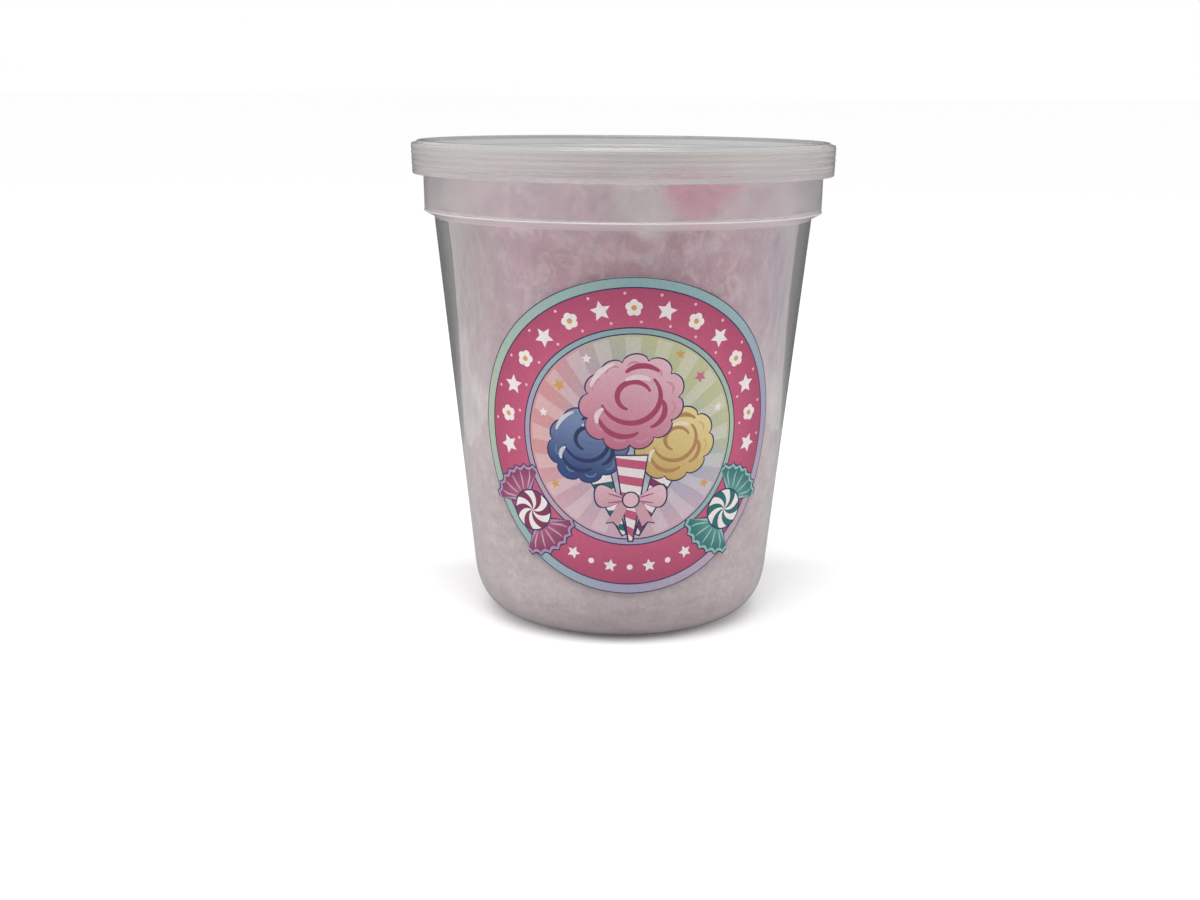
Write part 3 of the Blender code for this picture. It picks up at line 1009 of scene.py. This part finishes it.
def make_lid():
    """The frosted lid: clearer below the lowest ring, milkier along its edges with a painted highlight there, a painted
    dark blue-grey reflection on the bead's upper inner wall and the panel's edge, and a paler painted reflection on the
    bead's lower inner wall.
    """
    def slot_of(radius, height):
        outside = radius > SKIRT_INNER_RADIUS
        # Slot 2: the lid's edges, milkier plastic with a painted highlight
        if outside and height < SKIRT_BOTTOM + 0.3:
            return 2
        if radius > BEAD_OUTER_RADIUS - 0.4 and height > LID_SHOULDER - 0.45:
            return 2
        # The bead's inner wall and the panel's edge take painted reflections: dark at the foot and above the split
        # height, paler between
        if BEAD_INNER_RADIUS - 1.0 < radius < BEAD_INNER_RADIUS + 0.2 and height > PANEL_TOP:
            return 4 if PANEL_TOP + 0.45 < height < BEAD_PAINTED_REFLECTION_HEIGHT else 3
        return 1 if outside and height < SKIRT_RINGS[-1] else 0

    lid = turned("lid_moulded", lid_outline(), slot_of)
    lid.data.materials.append(plastic("frosted_polypropylene", (0.77, 0.755, 0.735), 0.11, 0.76, 120.0, 0.015))
    lid.data.materials.append(plastic("skirt_polypropylene", (0.79, 0.735, 0.735), 0.10, 0.78, 120.0, 0.015))
    # Milkier plastic with a painted highlight along the lid's edges
    lid.data.materials.append(plastic("rim_polypropylene_painted_highlight", (0.67, 0.67, 0.655), 0.12, 0.58, 120.0, 0.015))
    # A painted dark blue-grey reflection on the bead's upper inner wall and the panel's edge
    lid.data.materials.append(plastic("bead_painted_dark_reflection", (0.56, 0.605, 0.62), 0.14, 0.60, 120.0, 0.015))
    # A paler painted cool reflection on the bead's lower inner wall
    lid.data.materials.append(plastic("wall_painted_pale_reflection", (0.75, 0.785, 0.785), 0.14, 0.60, 120.0, 0.015))
    lid.visible_shadow = False
    lid.visible_diffuse = False
    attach(lid, "root")
    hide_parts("lid")
    return lid


def shrinkage(angle, height):
    """How far the candy has drawn back from the wall at an angle from the front."""
    rise = min(max((height - SHRINK_START) / (SHRINK_FULL - SHRINK_START), 0.0), 1.0)
    rise *= rise * (3.0 - 2.0 * rise)
    sideways = SHRINK_ALL_ROUND + (1.0 - SHRINK_ALL_ROUND) * math.sin(angle) ** 4
    return SHRINK_DEPTH * rise * sideways


def candy_outline():
    """The candy's half section: floor, corner, wall, neck, shoulder and sagging top."""
    points = [(FOOT_OUTER_RADIUS * step / 12, FLOOR_TOP - CANDY_REACH) for step in range(12)]
    for step in range(31):
        height = FLOOR_TOP + (CORNER + 0.5 - FLOOR_TOP) * (step / 30) ** 2
        points.append((inner_radius(height) + CANDY_REACH, height - CANDY_REACH * (1.0 - step / 30)))
    steps = 138
    for step in range(1, steps + 1):
        height = CORNER + 0.5 + (BODY_TOP - CORNER - 0.5) * step / steps
        points.append((inner_radius(height) + CANDY_REACH, height))
    neck_height = CANDY_TOP - CANDY_SHOULDER
    for step in range(1, 9):
        share = step / 8
        radius = inner_radius(BODY_TOP) + CANDY_REACH
        radius += (CANDY_NECK_RADIUS - radius) * share
        points.append((radius, BODY_TOP + (neck_height - BODY_TOP) * share))
    for step in range(1, 23):
        angle = 0.5 * math.pi * step / 22
        points.append((
            CANDY_NECK_RADIUS - CANDY_SHOULDER * (1.0 - math.cos(angle)),
            neck_height + CANDY_SHOULDER * math.sin(angle),
        ))
    inner = CANDY_NECK_RADIUS - CANDY_SHOULDER
    for step in range(1, 39):
        share = 1.0 - step / 38
        dip = CANDY_DIP * (0.5 + 0.5 * math.cos(math.pi * share))
        points.append((inner * share, CANDY_TOP - dip))
    return points


def normals(points):
    """Outward unit normals, in the half section's plane, of a line that runs round it."""
    result = []
    last = len(points) - 1
    for index in range(len(points)):
        x_before, y_before = points[max(index - 1, 0)]
        x_after, y_after = points[min(index + 1, last)]
        length = math.hypot(x_after - x_before, y_after - y_before)
        result.append(((y_after - y_before) / length, -(x_after - x_before) / length))
    return result


def ridge(place, scale):
    """Soft billows: 1 on a crest and towards 0 in a hollow."""
    return math.exp(-6.0 * noise.noise(place / scale) ** 2)


def relief(place, angle):
    """Depth in mm of the candy's surface below its smooth form; calmer towards the sides."""
    calm = 1.0 - SIDE_CALM * math.sin(angle) ** 4
    drift = Vector((noise.noise(place / 9.0), noise.noise(place / 9.0 + Vector((7, 1, 3))), 0.0))
    lumps = 0.5 + 0.5 * noise.fractal(place / 15.0, 1.0, 2.0, 3)
    bent = place + drift * 3.0
    tufts = ridge(Vector((bent.x, bent.y, 0.6 * bent.z)), 6.5)
    wisps = noise.fractal(Vector((bent.x, bent.y, 0.55 * bent.z)) / 2.6, 1.0, 2.0, 3)
    return calm * (0.75 * lumps + 0.30 * (1.0 - tufts) + 0.16 * (0.5 + wisps)) + (1.0 - calm) * MEAN_RELIEF


def candy_point(radius, height, slope, angle):
    """A point of the candy's surface and its depth below the smooth form, in mm."""
    smooth = Vector((radius * math.sin(angle), -radius * math.cos(angle), height))
    free = min(max((height - BODY_TOP) / 8.0, 0.0), 1.0)
    pressed = min(max((PRESSED_HEIGHT - height) / PRESSED_HEIGHT, 0.0), 1.0)
    depth = relief(smooth, angle)
    contact = (CONTACT_DEPTH + pressed) * (1.0 - free)
    out, up = slope
    drawn_back = shrinkage(angle, height) * min(max(out, 0.0), 1.0)
    sunk = max(depth + drawn_back - contact, 0.0)
    radius -= sunk * out
    height -= min(sunk, 1.6) * up * (1.0 if up > 0.0 else 0.4)
    return Vector((radius * math.sin(angle), -radius * math.cos(angle), height)), depth


def make_candy():
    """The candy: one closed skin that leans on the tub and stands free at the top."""
    outline = candy_outline()
    slopes = normals(outline)
    vertices = []
    depths = []
    for (radius, height), slope in zip(outline[1:-1], slopes[1:-1]):
        for step in range(CANDY_AROUND):
            point, depth = candy_point(radius, height, slope, math.tau * step / CANDY_AROUND)
            vertices.append(point * MM)
            depths.append(depth)
    rings = len(outline) - 2
    faces = []
    for ring in range(rings - 1):
        for step in range(CANDY_AROUND):
            lower = ring * CANDY_AROUND
            after = (step + 1) % CANDY_AROUND
            upper = lower + CANDY_AROUND
            faces.append((lower + step, lower + after, upper + after, upper + step))
    vertices.append(Vector((0.0, 0.0, outline[0][1])) * MM)
    vertices.append(Vector((0.0, 0.0, outline[-1][1] - 1.0)) * MM)
    depths += [0.5, 0.5]
    floor_middle = len(vertices) - 2
    top_ring = (rings - 1) * CANDY_AROUND
    for step in range(CANDY_AROUND):
        after = (step + 1) % CANDY_AROUND
        faces.append((after, step, floor_middle))
        faces.append((top_ring + step, top_ring + after, floor_middle + 1))
    mesh = bpy.data.meshes.new("candy_body")
    mesh.from_pydata(vertices, [], faces)
    attribute = mesh.attributes.new("depth", "FLOAT", "POINT")
    attribute.data.foreach_set("value", depths)
    mesh.shade_smooth()
    candy = bpy.data.objects.new("candy_body", mesh)
    bpy.context.scene.collection.objects.link(candy)
    mesh.materials.append(sugar_material("spun_sugar"))
    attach(candy, "root")
    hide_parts("cotton_candy")
    return candy


def thread_path(generator, outline, slopes):
    """The middle line of one sugar thread that drifts over the candy's skin, in mm."""
    place = generator.uniform(0.0, 1.0)
    index = THREAD_FIRST + (len(outline) - 2 - THREAD_FIRST) * place ** 0.8
    angle = generator.uniform(0.0, math.tau)
    heading = generator.gauss(0.0, 0.8)
    if generator.random() < 0.5:
        heading += 0.5 * math.pi
    bend = generator.gauss(0.0, 0.09)
    rise = generator.uniform(0.02, 0.09)
    points = []
    for step in range(THREAD_STEPS):
        at = int(min(max(index, 1), len(outline) - 2))
        radius, height = outline[at]
        if radius < 2.0:
            break
        point, depth = candy_point(radius, height, slopes[at], angle)
        out, up = slopes[at]
        if math.hypot(point.x, point.y) > radius - THREAD_CLEAR * min(max(out, 0.0), 1.0):
            break
        loose = rise * math.sin(math.pi * step / (THREAD_STEPS - 1))
        if height > BODY_TOP + 2.0:
            loose *= 8.0
        lift = Vector((out * math.sin(angle), -out * math.cos(angle), up)) * loose
        points.append(point + lift)
        heading += bend
        index += THREAD_STRIDE * math.cos(heading) / 0.72
        angle += THREAD_STRIDE * math.sin(heading) / radius
    return points


def make_threads():
    """Fine sugar threads on the candy's skin, joined into one mesh of three-sided tubes."""
    generator = random.Random(11)
    outline = candy_outline()
    slopes = normals(outline)
    vertices = []
    faces = []
    for thread in range(THREAD_COUNT):
        path = thread_path(generator, outline, slopes)
        if len(path) < 4:
            continue
        thickness = generator.uniform(0.04, 0.08)
        first = len(vertices)
        last = len(path) - 1
        for index, point in enumerate(path):
            along = (path[min(index + 1, last)] - path[max(index - 1, 0)]).normalized()
            side = along.cross(Vector((point.x, point.y, 0.4 * point.z)).normalized()).normalized()
            over = side.cross(along)
            half = thickness * (0.25 + 0.75 * math.sin(math.pi * index / last) ** 0.5)
            for corner_step in range(3):
                turn = math.tau * corner_step / 3
                vertices.append((point + (side * math.cos(turn) + over * math.sin(turn)) * half) * MM)
        for index in range(last):
            for corner_step in range(3):
                here = first + 3 * index
                after = (corner_step + 1) % 3
                faces.append((here + corner_step, here + after, here + 3 + after, here + 3 + corner_step))
        faces.append((first + 2, first + 1, first))
        end = first + 3 * last
        faces.append((end, end + 1, end + 2))
    mesh = bpy.data.meshes.new("candy_threads")
    mesh.from_pydata(vertices, [], faces)
    mesh.shade_smooth()
    threads = bpy.data.objects.new("candy_threads", mesh)
    bpy.context.scene.collection.objects.link(threads)
    mesh.materials.append(sugar_material("sugar_threads", THREAD_PALER))
    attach(threads, "root")
    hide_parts("cotton_candy")
    return threads


def paper_material(name, printed):
    """Satin sticker paper, with the print's colours where printed."""
    material, tree, shader = new_material(name)
    shader.inputs["Roughness"].default_value = 0.42
    shader.inputs["Specular IOR Level"].default_value = 0.4
    place = tree.nodes.new("ShaderNodeTexCoord")
    grain = tree.nodes.new("ShaderNodeTexNoise")
    grain.inputs["Scale"].default_value = 1400.0
    grain.inputs["Detail"].default_value = 3.0
    tree.links.new(place.outputs["Object"], grain.inputs["Vector"])
    tone = tree.nodes.new("ShaderNodeMapRange")
    tone.inputs["From Min"].default_value = 0.3
    tone.inputs["From Max"].default_value = 0.7
    tone.inputs["To Min"].default_value = 0.93
    tone.inputs["To Max"].default_value = 1.04
    tree.links.new(grain.outputs["Fac"], tone.inputs["Value"])
    scaled = tree.nodes.new("ShaderNodeVectorMath")
    scaled.operation = "SCALE"
    tree.links.new(tone.outputs["Result"], scaled.inputs["Scale"])
    if printed:
        ink = tree.nodes.new("ShaderNodeVertexColor")
        ink.layer_name = "print"
        tree.links.new(ink.outputs["Color"], scaled.inputs[0])
    else:
        scaled.inputs[0].default_value = WHITE
    tree.links.new(scaled.outputs["Vector"], shader.inputs["Base Color"])
    bump = tree.nodes.new("ShaderNodeBump")
    bump.inputs["Strength"].default_value = 0.08
    bump.inputs["Distance"].default_value = 0.0001
    tree.links.new(grain.outputs["Fac"], bump.inputs["Height"])
    tree.links.new(bump.outputs["Normal"], shader.inputs["Normal"])
    return material


def make_label():
    """The round sticker, wrapped on the wall, with a plain paper back."""
    mesh = printed_mesh("printed_label", draw_label(), LABEL_RADIUS, 1.3)
    label = bpy.data.objects.new("printed_label", mesh)
    bpy.context.scene.collection.objects.link(label)
    mesh.materials.append(paper_material("label_print", True))
    mesh.materials.append(paper_material("label_back", False))
    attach(label, "root")
    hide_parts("label")
    return label


# ---------------------------------------------------------------- stage

FLOOR_SIZE = 60.0
FLOOR_COLOUR = (0.95, 0.95, 0.95)
BOUNCE_COLOUR = (0.57, 0.56, 0.57)
MIRRORED_COLOUR = (0.36, 0.36, 0.356)
ROOM_COLOUR = (0.08, 0.081, 0.08)
BACKGROUND_COLOUR = (1.0, 1.0, 1.0)
ROOM_LIGHT = (0.30, 0.30, 0.30)
ROOM_VIEW = (0.125, 0.126, 0.128)


def tone_by_ray(tree, mirrored, bounced, seen):
    """One tone in mirrored or bent light, one for soft light, one as the camera sees it."""
    path = tree.nodes.new("ShaderNodeLightPath")
    soft = linked_mix(tree, path.outputs["Is Diffuse Ray"], mirrored, bounced)
    return linked_mix(tree, path.outputs["Is Camera Ray"], soft, seen)


def make_floor():
    """A plain pale floor; the tub mirrors it nearby and bends only the dim studio."""
    bpy.ops.mesh.primitive_plane_add(size=FLOOR_SIZE)
    floor = bpy.context.object
    floor.name = "floor"
    material, tree, shader = new_material("pale_floor")
    shader.inputs["Roughness"].default_value = 0.9
    shader.inputs["Specular IOR Level"].default_value = 0.1
    length = tree.nodes.new("ShaderNodeVectorMath")
    length.operation = "LENGTH"
    tree.links.new(tree.nodes.new("ShaderNodeTexCoord").outputs["Object"], length.inputs[0])
    near = linked_range(tree, length.outputs["Value"], 0.42, 0.10)
    near = linked_math(tree, "MULTIPLY", near, tree.nodes.new("ShaderNodeLightPath").outputs["Is Glossy Ray"])
    mirrored = linked_mix(tree, near, ROOM_COLOUR, MIRRORED_COLOUR)
    tree.links.new(tone_by_ray(tree, mirrored, BOUNCE_COLOUR, FLOOR_COLOUR), shader.inputs["Base Color"])
    floor.data.materials.append(material)


def area_light(name, place, target, width, height, power):
    """A soft rectangular light that points at a target."""
    light = bpy.data.lights.new(name, "AREA")
    light.shape = "RECTANGLE"
    light.size = width
    light.size_y = height
    light.energy = power
    lamp = bpy.data.objects.new(name, light)
    lamp.location = place
    lamp.rotation_mode = "QUATERNION"
    lamp.rotation_quaternion = (Vector(target) - Vector(place)).to_track_quat("-Z", "Y")
    lamp.visible_transmission = False
    lamp.visible_glossy = False
    bpy.context.scene.collection.objects.link(lamp)
    return lamp


def make_lights():
    """A dim room with a bright backdrop, a broad soft key from the front and two side lights."""
    world = bpy.data.worlds.new("studio")
    bpy.context.scene.world = world
    world.use_nodes = True
    tree = world.node_tree
    shade = tree.nodes["Background"]
    shade.inputs["Strength"].default_value = 1.0
    tree.links.new(tone_by_ray(tree, ROOM_VIEW, ROOM_LIGHT, BACKGROUND_COLOUR), shade.inputs["Color"])
    key = bpy.data.lights.new("key", "SUN")
    key.energy = KEY_STRENGTH
    key.angle = KEY_SPREAD
    lamp = bpy.data.objects.new("key", key)
    lamp.rotation_euler = (0.5 * math.pi - KEY_ELEVATION, 0.0, KEY_AZIMUTH)
    lamp.visible_transmission = False
    bpy.context.scene.collection.objects.link(lamp)
    area_light("left_light", (-0.9, -0.02, 0.30), (0.0, 0.0, 0.06), 0.2, 0.9, 4.6)
    area_light("right_light", (0.9, -0.02, 0.30), (0.0, 0.0, 0.06), 0.2, 0.9, 4.6)


KEY_STRENGTH = 2.7
KEY_SPREAD = math.radians(50.0)
KEY_ELEVATION = math.radians(65.0)
KEY_AZIMUTH = math.radians(-8.0)


# Camera: fitted to the tub's outline; it stands a little to the left of the label's middle
CAMERA_DISTANCE = 0.4883
CAMERA_HEIGHT = 0.1505
CAMERA_AZIMUTH = math.radians(3.4)
CAMERA_PITCH = math.radians(11.98)
CAMERA_ROLL = math.radians(0.48)
CAMERA_SHIFT = -0.01753
FOCAL_LENGTH = 1706.2 / 1200.0 * 36.0


def make_camera():
    data = bpy.data.cameras.new("camera")
    data.lens = FOCAL_LENGTH
    data.sensor_width = 36.0
    data.shift_x = CAMERA_SHIFT
    camera = bpy.data.objects.new("camera", data)
    bpy.context.scene.collection.objects.link(camera)
    camera.location = (
        -CAMERA_DISTANCE * math.sin(CAMERA_AZIMUTH),
        -CAMERA_DISTANCE * math.cos(CAMERA_AZIMUTH),
        CAMERA_HEIGHT,
    )
    turn = Euler((0.5 * math.pi - CAMERA_PITCH, 0.0, -CAMERA_AZIMUTH)).to_matrix()
    camera.rotation_euler = (turn @ Matrix.Rotation(CAMERA_ROLL, 3, "Z")).to_euler()
    bpy.context.scene.camera = camera


def main():
    bpy.context.scene.view_settings.view_transform = "Standard"
    make_tub()
    make_lid()
    make_candy()
    make_threads()
    make_label()
    make_floor()
    make_lights()
    make_camera()


main()
